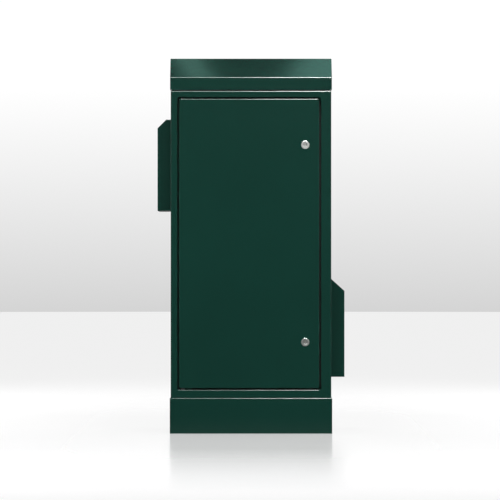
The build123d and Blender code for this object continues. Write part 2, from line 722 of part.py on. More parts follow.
def cam_screw(seat):
    # The screw that holds the cam on the insert's square.
    with BuildPart(seat) as screw:
        with Locations((0, 0, -cam_seat - cam_thickness)):
            Cylinder(cam_screw_radius, cam_screw_length, align=(Align.CENTER, Align.CENTER, Align.MIN))
            head_align = (Align.CENTER, Align.CENTER, Align.MAX)
            Cylinder(cam_screw_head_radius, cam_screw_head, align=head_align)
        fillet(screw.faces().sort_by(Axis(seat.origin, seat.z_dir))[0].edges(), cam_screw_head / 3)
    return screw.part


def lock_nuts(seats):
    # The hexagon nuts behind the sheet.
    with BuildPart() as nuts:
        with BuildSketch(*[seat.offset(-sheet) for seat in seats]):
            RegularPolygon(lock_nut_flats / 2, 6, major_radius=False)
            Circle(lock_barrel_radius, mode=Mode.SUBTRACT)
        extrude(amount=-lock_nut)
    return nuts.part


lock_seats = {
    "upper": Plane((lock_x, -half_depth, lock_heights["upper"]), x_dir=(1, 0, 0), z_dir=(0, -1, 0)),
    "lower": Plane((lock_x, -half_depth, lock_heights["lower"]), x_dir=(1, 0, 0), z_dir=(0, -1, 0)),
    "hatch": Plane((leaf_x, hatch_lock_y, hatch_lock_z), x_dir=(0, 1, 0), z_dir=(1, 0, 0)),
}
for place, seat in lock_seats.items():
    save(lock_housing(seat), f"{place}_lock_housing")
    save(lock_insert(seat), f"{place}_lock_insert")
    save(lock_cam(seat), f"{place}_lock_cam")
    save(cam_screw(seat), f"{place}_cam_screw")
save(lock_nuts([lock_seats["upper"], lock_seats["lower"]]), "door_lock_nuts")
save(lock_nuts([lock_seats["hatch"]]), "hatch_lock_nut")


# ---- Hatch
hatch_panel = folded_leaf(hatch_face, 2 * side_leaf_half, hatch_height)
hatch_axis = [(hatch_pivot_x, hatch_pivot_y, hatch_bottom + hatch_height / 2)]
with hatch_panel:
    drill(lock_barrel_radius + lock_hole_play, [(leaf_x, hatch_lock_y, hatch_lock_z)], (1, 0, 0), 6 * sheet)
    drill(bush_radius, hatch_axis, (0, 0, 1), 2 * hatch_height)
save(hatch_panel.part, "hatch_panel")

with BuildPart() as hatch_pivot_plates:
    plate_x = (leaf_x - leaf_depth, leaf_x - sheet)
    plate_y = (hatch_pivot_y - pivot_block_width / 2, side_leaf_half - leaf_corner)
    for base in (hatch_bottom + sheet, hatch_top - sheet - pivot_plate):
        block(plate_x, plate_y, (base, base + pivot_plate))
    drill(bush_radius, hatch_axis, (0, 0, 1), 2 * hatch_height)
save(hatch_pivot_plates.part, "hatch_pivot_plates")
save(flanged_bushes(hatch_pivot_x, hatch_pivot_y, hatch_bottom, hatch_top), "hatch_bushes")

with BuildPart() as hatch_pivot_supports:
    support_base = hatch_top + bush_flange + fit_gap
    support_x = (half_width + sheet, hatch_pivot_x + bush_radius)
    support_y = (hatch_pivot_y - bush_radius, hatch_pivot_y + bush_radius)
    block(support_x, support_y, (support_base, support_base + pivot_block))
    disc_height = side_gap - bush_flange - thrust_gap
    disc_middle = (hatch_pivot_x, hatch_pivot_y, hatch_floor + disc_height / 2)
    drill(bush_flange_radius, [disc_middle], (0, 0, 1), disc_height, Mode.ADD)
    drill(pin_radius, hatch_axis, (0, 0, 1), 2 * hatch_height)
save(hatch_pivot_supports.part, "hatch_pivot_supports")

with BuildPart() as hatch_pivot_pins:
    low_pin = (hatch_hood_bottom, hatch_bottom + leaf_depth)
    high_pin = (hatch_top - leaf_depth, support_base + pivot_block)
    for start, stop in (low_pin, high_pin):
        middle = (hatch_pivot_x, hatch_pivot_y, (start + stop) / 2)
        drill(pin_radius, [middle], (0, 0, 1), stop - start, Mode.ADD)
save(hatch_pivot_pins.part, "hatch_pivot_pins")


# ---- Hopper, in a side view measured from its pivot: u away from the wall's outer side, v up
def from_pivot(points):
    # Side-view points measured from the hopper's pivot, as X and Z.
    return [(pivot_x + u, pivot_z + v) for u, v in points]


flap_outer = -flap_to_pivot
flap_inner = flap_outer + sheet
tray_run = -inner_half_width - pivot_x - flap_inner
tray_above_pivot = window_bottom - pivot_z + tray_over_window + tray_run * tan(radians(tray_slope))
tray_along = (cos(radians(tray_slope)), -sin(radians(tray_slope)))
tray_below = (-sin(radians(tray_slope)), -cos(radians(tray_slope)))
tray_start = (flap_inner, tray_above_pivot)
start_along = tray_start[0] * tray_along[0] + tray_start[1] * tray_along[1]
start_offset = hypot(*tray_start) ** 2 - start_along ** 2
tray_length = sqrt(cheek_radius ** 2 - start_offset) - start_along


def on_tray(along, below):
    # A side-view point, measured along the tray's upper face and down from it.
    u = tray_start[0] + along * tray_along[0] + below * tray_below[0]
    v = tray_start[1] + along * tray_along[1] + below * tray_below[1]
    return (u, v)


handle_top = flap_top - handle_below_top
with BuildPart() as hopper_flap:
    block((-leaf_x, -leaf_x + sheet), (-side_leaf_half, side_leaf_half), (flap_bottom, flap_top))
    top_fold_z = (flap_top - sheet, flap_top)
    block((-leaf_x, -leaf_x + flap_return), (-side_leaf_half, side_leaf_half), top_fold_z)
    for end in (-1, 1):
        side_fold_y = (end * (side_leaf_half - sheet), end * side_leaf_half)
        block((-leaf_x, -leaf_x + flap_return), side_fold_y, (flap_bottom + 2 * sheet, flap_top))
    face_edges = hopper_flap.faces().sort_by(Axis.X)[0].edges()
    fillet(face_edges - ShapeList([face_edges.sort_by(Axis.Z)[0]]), sheet - fit_gap)
    screw_z = handle_top - handle_leg / 2
    handle_holes = [(-leaf_x, s * handle_hole_spacing / 2, screw_z) for s in (-1, 1)]
    drill(screw_radius, handle_holes, (1, 0, 0), 6 * sheet)
save(hopper_flap.part, "hopper_flap")

with BuildPart() as hopper_tray:
    under_start = (flap_inner, tray_above_pivot - sheet / cos(radians(tray_slope)))
    tray_outline = [tray_start, on_tray(tray_length, 0), on_tray(tray_length, sheet), under_start]
    with BuildSketch(Plane.XZ):
        polygon(from_pivot(tray_outline))
    extrude(amount=cheek_half - sheet, both=True)
save(hopper_tray.part, "hopper_tray")


def turned_back(point):
    # Where a side-view point of the opened hopper lies while the hopper is closed.
    turn = radians(hopper_opening_angle)
    return (point[0] * cos(turn) + point[1] * sin(turn), point[1] * cos(turn) - point[0] * sin(turn))


tray_end = on_tray(tray_length, 0)
shoulder = (cheek_shoulder, sqrt(cheek_radius ** 2 - cheek_shoulder ** 2))
arc_angle = radians(cheek_arc_angle)
cheek_middle = (cheek_radius * cos(arc_angle), cheek_radius * sin(arc_angle))
skirt_end = on_tray(tray_length, cheek_skirt)
ear_foot = on_tray(cheek_neck, cheek_skirt)
stop_pin_open = (-pivot_x - inner_half_width + buffer_thickness + pin_radius + fit_gap, stop_pin_height)
stop_pin = turned_back(stop_pin_open)
for end, name in ((-1, "hopper_front_cheek"), (1, "hopper_rear_cheek")):
    outer_face = end * cheek_half
    with BuildPart() as cheek:
        with BuildSketch(Plane.XZ.offset(-outer_face)):
            with BuildLine():
                front_foot = (flap_inner, cheek_clear_height)
                Polyline(*from_pivot([front_foot, (flap_inner, cheek_top), (0, cheek_top), shoulder]))
                ThreePointArc(*from_pivot([shoulder, cheek_middle, tray_end]))
                ear_side = [tray_end, skirt_end, ear_foot, (0, 0), (0, cheek_clear_height), front_foot]
                Polyline(*from_pivot(ear_side))
            make_face()
            with Locations((pivot_x, pivot_z)):
                Circle(ear_radius)
                Circle(bush_radius, mode=Mode.SUBTRACT)
        extrude(amount=end * sheet)
        hole = (pivot_x + stop_pin[0], outer_face, pivot_z + stop_pin[1])
        drill(pin_radius - sheet / 2, [hole], (0, 1, 0), 4 * sheet)
    save(cheek.part, name)

with BuildPart() as hopper_stop_pins:
    for end in (-1, 1):
        neck = (pivot_x + stop_pin[0], end * (cheek_half - sheet / 2), pivot_z + stop_pin[1])
        drill(pin_radius - sheet / 2, [neck], (0, 1, 0), sheet, Mode.ADD)
        body = (neck[0], end * (cheek_half + stop_pin_length / 2), neck[2])
        drill(pin_radius, [body], (0, 1, 0), stop_pin_length, Mode.ADD)
save(hopper_stop_pins.part, "hopper_stop_pins")

with BuildPart() as hopper_bushes:
    for end in (-1, 1):
        middle = (pivot_x, end * (cheek_half - sheet), pivot_z)
        drill(bush_radius, [middle], (0, 1, 0), 2 * sheet, Mode.ADD)
        rim = (pivot_x, end * (cheek_half + bush_flange / 2), pivot_z)
        drill(bush_flange_radius, [rim], (0, 1, 0), bush_flange, Mode.ADD)
    drill(pin_radius + running_fit, [(pivot_x, 0, pivot_z)], (0, 1, 0), hood_width)
save(hopper_bushes.part, "hopper_bushes")

with BuildPart() as hopper_counterweight:
    weight_far = tray_length - counterweight_end
    weight_near = weight_far - counterweight_width
    weight_deep = sheet + counterweight_thickness
    near_side = [on_tray(weight_near, sheet), on_tray(weight_near, weight_deep)]
    far_side = [on_tray(weight_far, weight_deep), on_tray(weight_far, sheet)]
    with BuildSketch(Plane.XZ):
        polygon(from_pivot(near_side + far_side))
    extrude(amount=cheek_half - 2 * sheet, both=True)
save(hopper_counterweight.part, "hopper_counterweight")

handle_base = -leaf_x
handle_outline = [
    (handle_base, handle_top - handle_leg),
    (handle_base, handle_top),
    (handle_base - handle_reach, handle_top),
    (handle_base - handle_reach, handle_top - handle_lip),
    (handle_base - handle_reach + sheet, handle_top - handle_lip),
    (handle_base - handle_reach + sheet, handle_top - sheet),
    (handle_base - sheet, handle_top - sheet),
    (handle_base - sheet, handle_top - handle_leg),
]
with BuildPart() as hopper_handle:
    with BuildSketch(Plane.XZ):
        polygon(handle_outline)
    extrude(amount=handle_width / 2, both=True)
    outer_fold = hopper_handle.edges().filter_by(Axis.Y).group_by(Axis.X)[0].sort_by(Axis.Z)[-1]
    fillet(outer_fold, sheet - fit_gap)
    drill(screw_radius, handle_holes, (1, 0, 0), 6 * sheet)
save(hopper_handle.part, "hopper_handle")

with BuildPart() as handle_screws:
    for hole in handle_holes:
        drill(screw_radius, [hole], (1, 0, 0), 2 * sheet, Mode.ADD)
        head = (-leaf_x - sheet - screw_head / 2, hole[1], hole[2])
        drill(screw_head_radius, [head], (1, 0, 0), screw_head, Mode.ADD)
        nut = (-leaf_x + sheet + screw_head / 2, hole[1], hole[2])
        drill(screw_head_radius, [nut], (1, 0, 0), screw_head, Mode.ADD)
save(handle_screws.part, "handle_screws")

with BuildPart() as hopper_sill:
    block((-leaf_x, -leaf_x + sheet), (-hood_inner, hood_inner), (hopper_floor, pivot_z + sill_above_pivot))
    block((-leaf_x - sill_leg, -leaf_x), (-hood_inner, hood_inner), (hopper_floor, hopper_floor + sheet))
save(hopper_sill.part, "hopper_sill")

with BuildPart() as hopper_pivot_lugs:
    lug_outer = hood_inner
    lug_inner = hood_inner - lug_thickness
    for end in (-1, 1):
        lug_y = (end * lug_inner, end * lug_outer)
        block((pivot_x - ear_radius, pivot_x + ear_radius), lug_y, (hopper_floor, pivot_z))
        middle = (pivot_x, end * (lug_inner + lug_outer) / 2, pivot_z)
        drill(ear_radius, [middle], (0, 1, 0), lug_thickness, Mode.ADD)
        drill(pin_radius, [middle], (0, 1, 0), 2 * lug_thickness)
save(hopper_pivot_lugs.part, "hopper_pivot_lugs")

with BuildPart() as hopper_pivot_rod:
    drill(pin_radius, [(pivot_x, 0, pivot_z)], (0, 1, 0), 2 * hood_inner, Mode.ADD)
save(hopper_pivot_rod.part, "hopper_pivot_rod")

with BuildPart() as hopper_buffers:
    for end in (-1, 1):
        buffer_x = -inner_half_width + buffer_thickness / 2
        buffer_y = end * (window_half + buffer_radius + sheet)
        middle = (buffer_x, buffer_y, pivot_z + stop_pin_height)
        drill(buffer_radius, [middle], (1, 0, 0), buffer_thickness, Mode.ADD)
save(hopper_buffers.part, "hopper_buffers")


# ---- Baffle over the hopper
baffle_wall = -inner_half_width
baffle_bend_z = baffle_top_height - baffle_foot
baffle_edge_x = baffle_wall + baffle_reach
fall = (baffle_reach, baffle_edge_height - baffle_bend_z)
fall_length = hypot(*fall)
with BuildPart() as hopper_baffle:
    skin_rise = sheet * (fall_length + fall[1]) / fall[0]
    inner_bend_z = baffle_bend_z + skin_rise
    lower_z = baffle_edge_height + skin_rise
    baffle_outline = [
        (baffle_wall, baffle_top_height),
        (baffle_wall, baffle_bend_z),
        (baffle_edge_x, baffle_edge_height),
        (baffle_edge_x, baffle_edge_height - baffle_lip),
        (baffle_edge_x + sheet, baffle_edge_height - baffle_lip),
        (baffle_edge_x + sheet, lower_z),
        (baffle_wall + sheet, inner_bend_z),
        (baffle_wall + sheet, baffle_top_height),
    ]
    with BuildSketch(Plane.XZ):
        polygon(baffle_outline)
    extrude(amount=baffle_width / 2, both=True)
    drill(rivet_radius, [(baffle_wall, y, z) for y, z in baffle_rivet_points], (1, 0, 0), 6 * sheet)
save(hopper_baffle.part, "hopper_baffle")


# ---- Fasteners
def bolt_sets(points, seat, far, radius, flats, head, nut):
    # Hexagon bolts with their nuts: heads stand on the seat level, nuts on the far level.
    away = 1 if seat > far else -1
    with BuildPart() as group:
        for x, y in points:
            with BuildSketch(Plane((x, y, seat))):
                RegularPolygon(flats / 2, 6, major_radius=False)
            extrude(amount=away * head)
            with BuildSketch(Plane((x, y, seat))):
                Circle(radius)
            extrude(amount=far - seat - away * (nut + sheet))
            with BuildSketch(Plane((x, y, far))):
                RegularPolygon(flats / 2, 6, major_radius=False)
                Circle(radius + running_fit, mode=Mode.SUBTRACT)
            extrude(amount=-away * nut)
    return group.part


frame_bolt_levels = (body_base + 2 * sheet, body_base - sheet)
frame_bolt_sizes = (frame_bolt_radius, frame_bolt_flats, frame_bolt_head, frame_bolt_flats / 2)
save(bolt_sets(frame_bolt_points, *frame_bolt_levels, *frame_bolt_sizes), "frame_bolts")
lid_bolt_levels = (body_top - 2 * sheet, lid_base + sheet)
lid_bolt_sizes = (lid_bolt_radius, lid_bolt_flats, lid_bolt_head, lid_bolt_flats / 2)
save(bolt_sets(lid_bolt_points, *lid_bolt_levels, *lid_bolt_sizes), "lid_bolts")


def add_rivets(seats, grip):
    # Blind rivets in the part being built: a low head on each seat and a shank into the sheets.
    with Locations(*seats):
        head_align = (Align.CENTER, Align.CENTER, Align.MIN)
        Cone(rivet_head_radius, rivet_head_radius / 2, rivet_head, align=head_align)
        Cylinder(rivet_radius, grip, align=(Align.CENTER, Align.CENTER, Align.MAX))


with BuildPart() as panel_rivets:
    for side in (-1, 1):
        for y, grip in ((half_depth, 2 * sheet), (panel_front + sheet, front_rivet_grip)):
            add_rivets([Plane(point, z_dir=(0, 1, 0)) for point in rivet_column(side, y)], grip)
save(panel_rivets.part, "panel_rivets")

with BuildPart() as hood_rivets:
    add_rivets([Plane((-inner_half_width, y, z), z_dir=(1, 0, 0)) for y, z in hopper_rivets], 2 * sheet)
    add_rivets([Plane((inner_half_width, y, z), z_dir=(-1, 0, 0)) for y, z in hatch_rivets], 2 * sheet)
    baffle_seat_x = baffle_wall + sheet
    add_rivets([Plane((baffle_seat_x, y, z), z_dir=(1, 0, 0)) for y, z in baffle_rivet_points], 2 * sheet)
save(hood_rivets.part, "hood_rivets")
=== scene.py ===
import json
import math

import bmesh
import bpy
import numpy as np
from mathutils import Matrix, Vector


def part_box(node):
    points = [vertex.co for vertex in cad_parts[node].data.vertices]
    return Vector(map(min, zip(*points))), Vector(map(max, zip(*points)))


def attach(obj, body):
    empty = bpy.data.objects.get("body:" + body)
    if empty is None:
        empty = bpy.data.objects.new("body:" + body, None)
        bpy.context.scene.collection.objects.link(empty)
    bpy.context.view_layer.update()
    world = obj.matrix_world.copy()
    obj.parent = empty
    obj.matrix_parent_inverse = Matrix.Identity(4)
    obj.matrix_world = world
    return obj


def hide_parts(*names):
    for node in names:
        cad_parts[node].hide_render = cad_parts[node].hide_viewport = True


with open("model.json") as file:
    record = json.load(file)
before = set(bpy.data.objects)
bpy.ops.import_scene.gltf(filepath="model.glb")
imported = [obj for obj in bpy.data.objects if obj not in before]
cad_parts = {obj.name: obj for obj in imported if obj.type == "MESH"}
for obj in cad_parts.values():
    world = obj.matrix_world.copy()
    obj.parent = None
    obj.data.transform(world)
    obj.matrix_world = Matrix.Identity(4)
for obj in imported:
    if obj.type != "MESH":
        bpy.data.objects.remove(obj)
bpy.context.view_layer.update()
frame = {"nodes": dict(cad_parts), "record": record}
nodes = frame["nodes"]
print("frame loaded:", len(nodes), "nodes")


# Shader wiring.
class Wire:
    # One output of a node. Arithmetic on it adds Math nodes, so 1 - mask is a new wire.
    def __init__(self, paint, socket):
        self.paint = paint
        self.socket = socket

    def calc(self, operation, first, second=0.0):
        return self.paint.node("ShaderNodeMath", {"operation": operation}, {0: first, 1: second})

    def __add__(self, other):
        return self.calc("ADD", self, other)

    def __radd__(self, other):
        return self.calc("ADD", other, self)

    def __sub__(self, other):
        return self.calc("SUBTRACT", self, other)

    def __rsub__(self, other):
        return self.calc("SUBTRACT", other, self)

    def __mul__(self, other):
        return self.calc("MULTIPLY", self, other)

    def __truediv__(self, other):
        return self.calc("DIVIDE", self, other)

    def __abs__(self):
        return self.calc("ABSOLUTE", self)

    def low(self, other):
        return self.calc("MINIMUM", self, other)

    def high(self, other):
        return self.calc("MAXIMUM", self, other)

    def unit(self):
        return self.low(1.0).high(0.0)


class Paint:
    # A material in the making. Every node it holds is added by node().
    def __init__(self, name):
        self.material = bpy.data.materials.new(name)
        self.material.use_nodes = True
        self.tree = self.material.node_tree
        self.tree.nodes.clear()
        self.point = self.node("ShaderNodeTexCoord", {}, {}, "Object")

    def node(self, kind, settings, links, output=0):
        made = self.tree.nodes.new(kind)
        for key, value in settings.items():
            setattr(made, key, value)
        for key, value in links.items():
            if isinstance(value, Wire):
                self.tree.links.new(value.socket, made.inputs[key])
            else:
                made.inputs[key].default_value = value
        return Wire(self, made.outputs[output]) if len(made.outputs) else None

    def moved(self, location=(0.0, 0.0, 0.0), scale=(1.0, 1.0, 1.0)):
        links = {"Vector": self.point, "Location": location, "Scale": scale}
        return self.node("ShaderNodeMapping", {}, links)

    def noise(self, scale, detail=2.0, stretch=(1.0, 1.0, 1.0)):
        links = {"Vector": self.moved(scale=stretch), "Scale": scale, "Detail": detail}
        return self.node("ShaderNodeTexNoise", {"noise_dimensions": "3D"}, links)

    def cells(self, scale, output):
        links = {"Vector": self.point, "Scale": scale}
        return self.node("ShaderNodeTexVoronoi", {"feature": "F1"}, links, output)

    def axes(self, vector):
        return [self.node("ShaderNodeSeparateXYZ", {}, {0: vector}, axis) for axis in range(3)]

    def blend(self, first, second, factor):
        settings = {"data_type": "RGBA", "blend_type": "MIX"}
        return self.node("ShaderNodeMix", settings, {0: factor, 6: first, 7: second}, 2)

    def bump(self, height, depth):
        links = {"Height": height, "Distance": depth, "Strength": 1.0}
        return self.node("ShaderNodeBump", {}, links)

    def surface(self, values):
        shader = self.node("ShaderNodeBsdfPrincipled", {}, values)
        return self.end(shader)

    def end(self, shader):
        self.node("ShaderNodeOutputMaterial", {}, {"Surface": shader})
        return self.material


def tint(colour, amount=1.0):
    return (*[channel * amount for channel in colour], 1.0)


# Finishes.
# The paint is a dark green with a fine orange peel, paler where it wraps an edge (a thinner coat worn
# pale, and also a painted highlight along the folds), dusty at the floor.
coat = {
    "green": (0.0022, 0.0305, 0.0212),
    "edgeWearAndHighlightGreen": (0.0200, 0.0900, 0.0680),
    "dust": (0.16, 0.17, 0.15),
    "roughness": 0.12,
    "peelRoughness": 0.05,
    "dustRoughness": 0.12,
    "driftRoughness": 0.03,
    "peelScale": 430.0,
    "peelDepth": 0.000010,
    "fleckScale": 946.0,
    "fleckShare": 0.3,
    "waveScale": 38.0,
    "waveDepth": 0.00006,
    "driftScale": 3.2,
    "dark": 0.82,
    "light": 1.20,
    "patchScale": 24.0,
    "patchGain": 2.6,
    "patchCut": 0.75,
    "edgeReach": 0.0030,
    "edgeWearAndHighlightAmount": 0.55,
    "dustHeight": 0.055,
    "dustScale": 14.0,
    "dustSpread": 0.6,
    "dustAmount": 0.035,
    "refraction": 1.48,
}


def edgeNearness(paint, low, high, reach):
    # Distance to the nearest edge of a box: the middle one of the three distances to its walls.
    # It is 1 on the edge and falls to 0 at the given reach.
    centre = [-(a + b) / 2 for a, b in zip(low, high)]
    half = [(b - a) / 2 for a, b in zip(low, high)]
    x, y, z = paint.axes(paint.moved(location=centre))
    a = half[0] - abs(x)
    b = half[1] - abs(y)
    c = half[2] - abs(z)
    middle = a.low(b).high(a.high(b).low(c))
    return (1.0 - middle / reach).unit()


def powderCoat(name, low, high):
    paint = Paint(name)
    peel = paint.noise(coat["peelScale"], detail=1.5)
    wave = paint.noise(coat["waveScale"], detail=1.0)
    drift = paint.noise(coat["driftScale"], detail=3.0)
    fleck = paint.noise(coat["fleckScale"], detail=0.0)
    edgeWearAndHighlight = edgeNearness(paint, low, high, coat["edgeReach"])
    patches = paint.noise(coat["patchScale"], detail=3.0)
    patchy = (patches * coat["patchGain"] - coat["patchCut"]).unit()
    height = paint.axes(paint.point)[2]
    spread = coat["dustSpread"]
    settled = paint.noise(coat["dustScale"]) * spread + (1 - spread)
    dusty = (1.0 - height / coat["dustHeight"]).unit() * settled
    green = coat["green"]
    share = coat["fleckShare"]
    mottle = drift * (1 - share) + fleck * share
    body = paint.blend(tint(green, coat["dark"]), tint(green, coat["light"]), mottle)
    # Paler green along every edge: partly a worn thin coat, partly a painted highlight on the fold
    # radii.
    edgeWornAndHighlit = paint.blend(body, tint(coat["edgeWearAndHighlightGreen"]), edgeWearAndHighlight * patchy * coat["edgeWearAndHighlightAmount"])
    colour = paint.blend(edgeWornAndHighlit, tint(coat["dust"]), dusty * coat["dustAmount"])
    rough = peel * coat["peelRoughness"] + drift * coat["driftRoughness"]
    roughness = coat["roughness"] + rough + dusty * coat["dustRoughness"]
    waved = paint.bump(wave, coat["waveDepth"])
    grain = {"Height": peel, "Distance": coat["peelDepth"], "Strength": 1.0, "Normal": waved}
    relief = paint.node("ShaderNodeBump", {}, grain)
    values = {"Base Color": colour, "Roughness": roughness, "Normal": relief}
    values["IOR"] = coat["refraction"]
    return paint.surface(values)


# Zinc sheet: crystals of slightly different grey under a faint rolling grain.
zinc = {
    "grey": (0.50, 0.515, 0.52),
    "dark": 0.78,
    "light": 1.15,
    "roughness": 0.28,
    "crystalScale": 90.0,
    "crystalShare": 0.5,
    "crystalRoughness": 0.12,
    "hazeScale": 9.0,
    "hazeRoughness": 0.10,
    "grainScale": 420.0,
    "grainStretch": (1.0, 1.0, 0.06),
    "grainShare": 0.7,
    "grainDepth": 0.00001,
}


def zincCoat(name):
    paint = Paint(name)
    crystal = paint.axes(paint.cells(zinc["crystalScale"], "Color"))[0]
    grain = paint.noise(zinc["grainScale"], stretch=zinc["grainStretch"])
    haze = paint.noise(zinc["hazeScale"], detail=4.0)
    shade = crystal * zinc["crystalShare"] + haze * (1 - zinc["crystalShare"])
    grey = zinc["grey"]
    colour = paint.blend(tint(grey, zinc["dark"]), tint(grey, zinc["light"]), shade)
    uneven = crystal * zinc["crystalRoughness"] + haze * zinc["hazeRoughness"]
    raised = grain * zinc["grainShare"] + crystal * (1 - zinc["grainShare"])
    roughness = zinc["roughness"] + uneven
    relief = paint.bump(raised, zinc["grainDepth"])
    values = {"Base Color": colour, "Roughness": roughness, "Metallic": 1.0, "Normal": relief}
    return paint.surface(values)


# Plated steel for fasteners: smoother, with a warm-to-cool drift and fine handling marks.
plating = {
    "cool": (0.528, 0.532, 0.528),
    "warm": (0.72, 0.70, 0.65),
    "roughness": 0.19,
    "cloudScale": 130.0,
    "cloudRoughness": 0.08,
    "marksScale": 900.0,
    "marksRoughness": 0.16,
    "marksDepth": 0.000006,
}


def platedSteel(name):
    paint = Paint(name)
    cloud = paint.noise(plating["cloudScale"], detail=3.0)
    marks = paint.noise(plating["marksScale"])
    colour = paint.blend(tint(plating["cool"]), tint(plating["warm"]), cloud)
    uneven = marks * plating["marksRoughness"] + cloud * plating["cloudRoughness"]
    roughness = plating["roughness"] + uneven
    relief = paint.bump(marks, plating["marksDepth"])
    values = {"Base Color": colour, "Roughness": roughness, "Metallic": 1.0, "Normal": relief}
    return paint.surface(values)


# Blackened steel for the pins: a dark oiled skin, worn to bare steel in small patches.
blackened = {
    "skin": (0.018, 0.018, 0.019),
    "bare": (0.11, 0.11, 0.11),
    "roughness": 0.38,
    "wornScale": 210.0,
    "wornGain": 4.0,
    "wornCut": 2.1,
    "wornAmount": 0.5,
    "wornPolish": 0.08,
    "filmScale": 700.0,
    "filmRoughness": 0.14,
    "filmDepth": 0.000006,
}


def blackenedSteel(name):
    paint = Paint(name)
    patches = paint.noise(blackened["wornScale"], detail=4.0)
    worn = (patches * blackened["wornGain"] - blackened["wornCut"]).unit()
    film = paint.noise(blackened["filmScale"])
    share = worn * blackened["wornAmount"]
    colour = paint.blend(tint(blackened["skin"]), tint(blackened["bare"]), share)
    uneven = film * blackened["filmRoughness"] - worn * blackened["wornPolish"]
    roughness = blackened["roughness"] + uneven
    relief = paint.bump(film, blackened["filmDepth"])
    values = {"Base Color": colour, "Roughness": roughness, "Metallic": 1.0, "Normal": relief}
    return paint.surface(values)


# Lock chrome: bright, with rings left by polishing about the lock's own axis.
chrome = {
    "silver": (0.80, 0.82, 0.79),
    "dark": 0.86,
    "light": 1.06,
    "roughness": 0.30,
    "ringPitch": 0.00055,
    "ringTone": 0.08,
    "ringDepth": 0.0000025,
    "smearScale": 420.0,
    "smearTone": 0.7,
    "smearRoughness": 0.12,
}


def lockChrome(name, centre, axis):
    paint = Paint(name)
    around = [0.0 if axis == k else 1.0 for k in range(3)]
    place = paint.moved(location=[-c * s for c, s in zip(centre, around)], scale=around)
    radius = paint.node("ShaderNodeVectorMath", {"operation": "LENGTH"}, {0: place}, "Value")
    rings = radius.calc("SINE", radius * (2 * math.pi / chrome["ringPitch"]))
    smear = paint.noise(chrome["smearScale"], detail=3.0)
    tone = smear * chrome["smearTone"] + rings * chrome["ringTone"]
    silver = chrome["silver"]
    colour = paint.blend(tint(silver, chrome["dark"]), tint(silver, chrome["light"]), tone)
    roughness = chrome["roughness"] + smear * chrome["smearRoughness"]
    relief = paint.bump(rings, chrome["ringDepth"])
    values = {"Base Color": colour, "Roughness": roughness, "Metallic": 1.0, "Normal": relief}
    return paint.surface(values)


# Black rubber and nylon: near-black with a soft bloom and a fine moulded grain.
moulded = {
    "bloomScale": 26.0,
    "bloomGain": 2.0,
    "bloomCut": 0.6,
    "bloomAmount": 0.6,
    "bloomRoughness": 0.10,
    "grainRoughness": 0.12,
    "grainDepth": 0.00002,
    "shine": 0.3,
    "rubber": {
        # This black is darker than rubber really is: painted shade, so that the seal in the door's gap
        # reads as a dark shadowed gap.
        "black": (0.004, 0.004, 0.0043),
        "bloom": (0.012, 0.012, 0.0125),
        "rough": 0.64,
        "grain": 700.0,
    },
    "nylon": {
        "black": (0.016, 0.016, 0.017),
        "bloom": (0.030, 0.030, 0.032),
        "rough": 0.34,
        "grain": 1100.0,
    },
}


def mouldedBlack(name, kind):
    look = moulded[kind]
    paint = Paint(name)
    grain = paint.noise(look["grain"])
    patches = paint.noise(moulded["bloomScale"], detail=4.0)
    bloom = (patches * moulded["bloomGain"] - moulded["bloomCut"]).unit()
    share = bloom * moulded["bloomAmount"]
    colour = paint.blend(tint(look["black"]), tint(look["bloom"]), share)
    uneven = grain * moulded["grainRoughness"] + bloom * moulded["bloomRoughness"]
    roughness = look["rough"] + uneven
    relief = paint.bump(grain, moulded["grainDepth"])
    values = {"Base Color": colour, "Roughness": roughness, "Normal": relief}
    values["Specular IOR Level"] = moulded["shine"]
    return paint.surface(values)


# Meshes from arrays.
meshing = {"merge": 0.000002, "degenerate": 0.000001, "sharpDegrees": 32}


def build(name, verts, faces, body, material):
    # One piece from rows of points and lists of faces. Doubles are merged so poles and seams close.
    mesh = bpy.data.meshes.new(name)
    mesh.from_pydata(np.asarray(verts).tolist(), [], faces)
    work = bmesh.new()
    work.from_mesh(mesh)
    bmesh.ops.remove_doubles(work, verts=work.verts, dist=meshing["merge"])
    bmesh.ops.dissolve_degenerate(work, edges=work.edges, dist=meshing["degenerate"])
    bmesh.ops.recalc_face_normals(work, faces=work.faces)
    work.to_mesh(mesh)
    work.free()
    mesh.shade_smooth()
    mesh.set_sharp_from_angle(angle=math.radians(meshing["sharpDegrees"]))
    mesh.materials.append(material)
    piece = bpy.data.objects.new(name, mesh)
    bpy.context.scene.collection.objects.link(piece)
    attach(piece, body)
    return piece


def quads(rows, columns, start=0, wrapColumns=True):
    # Faces of a grid of points: each joins a point to its neighbours in the next row and column.
    rowIds = np.arange(rows - 1)
    columnIds = np.arange(columns if wrapColumns else columns - 1)
    i, j = [axis.ravel() for axis in np.meshgrid(rowIds, columnIds, indexing="ij")]
    here = i * columns
    below = here + columns
    nextColumn = (j + 1) % columns
    corners = [here + j, below + j, below + nextColumn, here + nextColumn]
    return (np.stack(corners, axis=1) + start).tolist()


def gather(grids):
    # Puts closed grids of equal kind into one list of points and one of faces.
    verts = []
    faces = []
    start = 0
    for grid in grids:
        rows, columns = grid.shape[:2]
        verts.append(grid.reshape(-1, 3))
        faces.extend(quads(rows, columns, start))
        start += rows * columns
    return np.concatenate(verts), faces


def turned(profile, axis, origin, segments=28, shape=None):
    # Surface of revolution: every (radius, height) of the profile is carried round the axis.
    # shape(angle) scales the radius, so that a hexagon is a surface of revolution too.
    radius = np.array([p[0] for p in profile])[:, None]
    height = np.array([p[1] for p in profile])[:, None]
    angle = np.linspace(0, 2 * np.pi, segments, endpoint=False)[None, :]
    across = radius if shape is None else shape(radius, angle)
    u = across * np.cos(angle)
    v = across * np.sin(angle)
    w = height + 0 * angle
    order = {0: (w, u, v), 1: (v, w, u), 2: (u, v, w)}[axis]
    return np.stack(order, axis=2) + np.array(origin)


